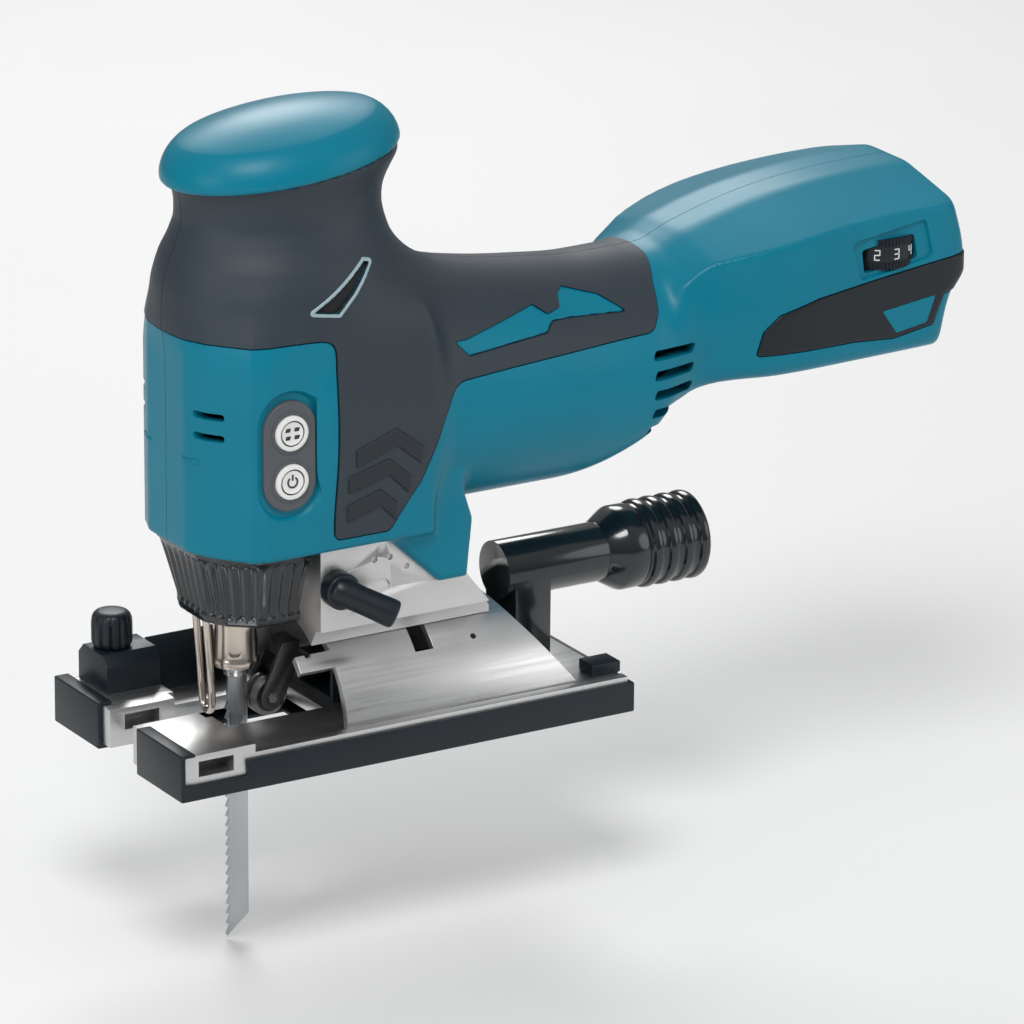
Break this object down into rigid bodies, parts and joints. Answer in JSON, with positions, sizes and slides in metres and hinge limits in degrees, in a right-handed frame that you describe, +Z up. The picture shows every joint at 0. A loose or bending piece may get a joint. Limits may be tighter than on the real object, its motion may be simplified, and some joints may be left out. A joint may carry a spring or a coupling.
{
  "type": "jigsaw power tool",
  "caption": "Cordless barrel-grip jigsaw with a domed front knob, bevelling sole, roller-guided blade, orbital lever and rear dust nozzle; battery not fitted.",
  "frame": {"origin": "centre of the sole's underside", "axes": "+X to the rear of the tool, -X is the blade end, -Y is the tool's left side, +Z up"},
  "size_m": [0.265, 0.0792, 0.2459],
  "materials": {
    "teal_plastic": "satin moulded plastic",
    "rubber_grip": "matt soft-touch overmould",
    "black_plastic": "satin moulded plastic",
    "grey_plastic": "matt moulded plastic",
    "gloss_black": "glossy moulded plastic",
    "key_white": "glossy keys with dark symbols",
    "cast_aluminium": "fine blasted casting with machined edges",
    "bright_steel": "turned and ground",
    "polished_steel": "polished, with turning lines",
    "dark_steel": "hardened and oiled",
    "blade_steel": "ground blade",
    "bronze_bush": "sintered bearing bronze",
    "motor_laminate": "stacked laminations",
    "dark_screw": "blackened screws",
    "circuit_board": "coated circuit board",
    "lamp_lens": "clear lamp lens"
  },
  "bodies": {
    "tool": {"left_housing": "teal_plastic", "right_housing": "teal_plastic", "left_overmould": "rubber_grip", "right_overmould": "rubber_grip", "knob_cap": "teal_plastic", "button_panel": "grey_plastic", "switch_board": "circuit_board", "left_side_panel": "grey_plastic", "right_side_panel": "grey_plastic", "side_badges": "teal_plastic", "housing_screws": "dark_screw", "dial_board": "circuit_board", "controller_board": "circuit_board", "terminal_block": "black_plastic", "battery_rails": "bright_steel", "motor_stator": "motor_laminate", "front_bearing": "bright_steel", "rear_bearing": "bright_steel", "gear_bearing": "bright_steel", "gear_case": "cast_aluminium", "upper_bush": "bronze_bush", "lower_bush": "bronze_bush", "led_light": "lamp_lens", "nose_shroud": "gloss_black", "wire_guard": "polished_steel", "bevel_bracket": "cast_aluminium", "bracket_screws": "dark_screw", "roller_pivot_pin": "bright_steel", "bevel_bolt": "dark_screw"},
    "rotor": {"motor_shaft": "bright_steel", "rotor_core": "motor_laminate", "cooling_fan": "black_plastic", "drive_pinion": "bright_steel"},
    "crank_gear": {"drive_gear": "bright_steel", "gear_shaft": "bright_steel", "crank_pin": "bright_steel"},
    "plunger": {"blade_rod": "bright_steel", "scotch_yoke": "bright_steel", "clamp_sleeve": "polished_steel", "clamp_spring": "bright_steel", "blade": "blade_steel"},
    "balance": {"counterweight": "bright_steel"},
    "base": {"base_plate": "cast_aluminium", "base_cover": "black_plastic", "fence_clamp_block": "black_plastic", "dust_channel": "black_plastic"},
    "fence_knob": {"fence_clamp_screw": "black_plastic"},
    "nozzle": {"dust_nozzle": "gloss_black", "hose_cuff": "gloss_black"},
    "roller_arm": {"roller_bracket": "dark_steel", "roller_axle": "bright_steel"},
    "roller": {"guide_roller": "dark_steel"},
    "orbit_lever": {"orbital_lever": "black_plastic"},
    "front_cover": {"chip_cover": "gloss_black"},
    "power_key": {"power_button": "key_white"},
    "mode_key": {"mode_button": "key_white"},
    "dial": {"speed_dial": "black_plastic"}
  },
  "joints": [
    {"name": "rotor_spin", "type": "hinge", "parent": "tool", "child": "rotor", "pos_m": [0.045, 0, 0.0945], "axis": [1, 0, 0], "continuous": true},
    {"name": "gear_spin", "type": "hinge", "parent": "tool", "child": "crank_gear", "pos_m": [-0.017, 0, 0.1155], "axis": [1, 0, 0], "continuous": true},
    {"name": "blade_stroke", "type": "slide", "parent": "tool", "child": "plunger", "axis": [0, 0, 1], "range_m": [0, 0.026]},
    {"name": "counterweight_stroke", "type": "slide", "parent": "tool", "child": "balance", "axis": [0, 0, -1], "range_m": [0, 0.0105]},
    {"name": "base_tilt", "type": "hinge", "parent": "tool", "child": "base", "pos_m": [0, 0, 0.006], "axis": [1, 0, 0], "range_deg": [-45, 45]},
    {"name": "fence_knob_turn", "type": "hinge", "parent": "base", "child": "fence_knob", "pos_m": [-0.061, 0.028, 0.03], "axis": [0, 0, 1], "continuous": true},
    {"name": "nozzle_pull", "type": "slide", "parent": "base", "child": "nozzle", "axis": [1, 0, 0], "range_m": [0, 0.03]},
    {"name": "roller_arm_swing", "type": "hinge", "parent": "tool", "child": "roller_arm", "pos_m": [-0.0255, 0.0043, 0.045], "axis": [0, -1, 0], "range_deg": [0, 3]},
    {"name": "roller_turn", "type": "hinge", "parent": "roller_arm", "child": "roller", "pos_m": [-0.0263, 0, 0.012], "axis": [0, 1, 0], "continuous": true},
    {"name": "orbital_select", "type": "hinge", "parent": "tool", "child": "orbit_lever", "pos_m": [-0.017, -0.028, 0.05], "axis": [0, -1, 0], "range_deg": [0, 75]},
    {"name": "chip_cover_slide", "type": "slide", "parent": "tool", "child": "front_cover", "axis": [0, 0, -1], "range_m": [0, 0.014]},
    {"name": "power_press", "type": "slide", "parent": "tool", "child": "power_key", "axis": [0, 1, 0], "range_m": [0, 0.0008], "stiffness_N_per_m": 1500},
    {"name": "mode_press", "type": "slide", "parent": "tool", "child": "mode_key", "axis": [0, 1, 0], "range_m": [0, 0.0008], "stiffness_N_per_m": 1500},
    {"name": "speed_turn", "type": "hinge", "parent": "tool", "child": "dial", "pos_m": [0.164, -0.0253, 0.124], "axis": [0, 0, 1], "range_deg": [-135, 135]}
  ],
  "couplings": [
    {"joint": "gear_spin", "follows": "rotor_spin", "ratio": -0.25},
    {"joint": "counterweight_stroke", "follows": "blade_stroke", "ratio": 0.4}
  ]
}
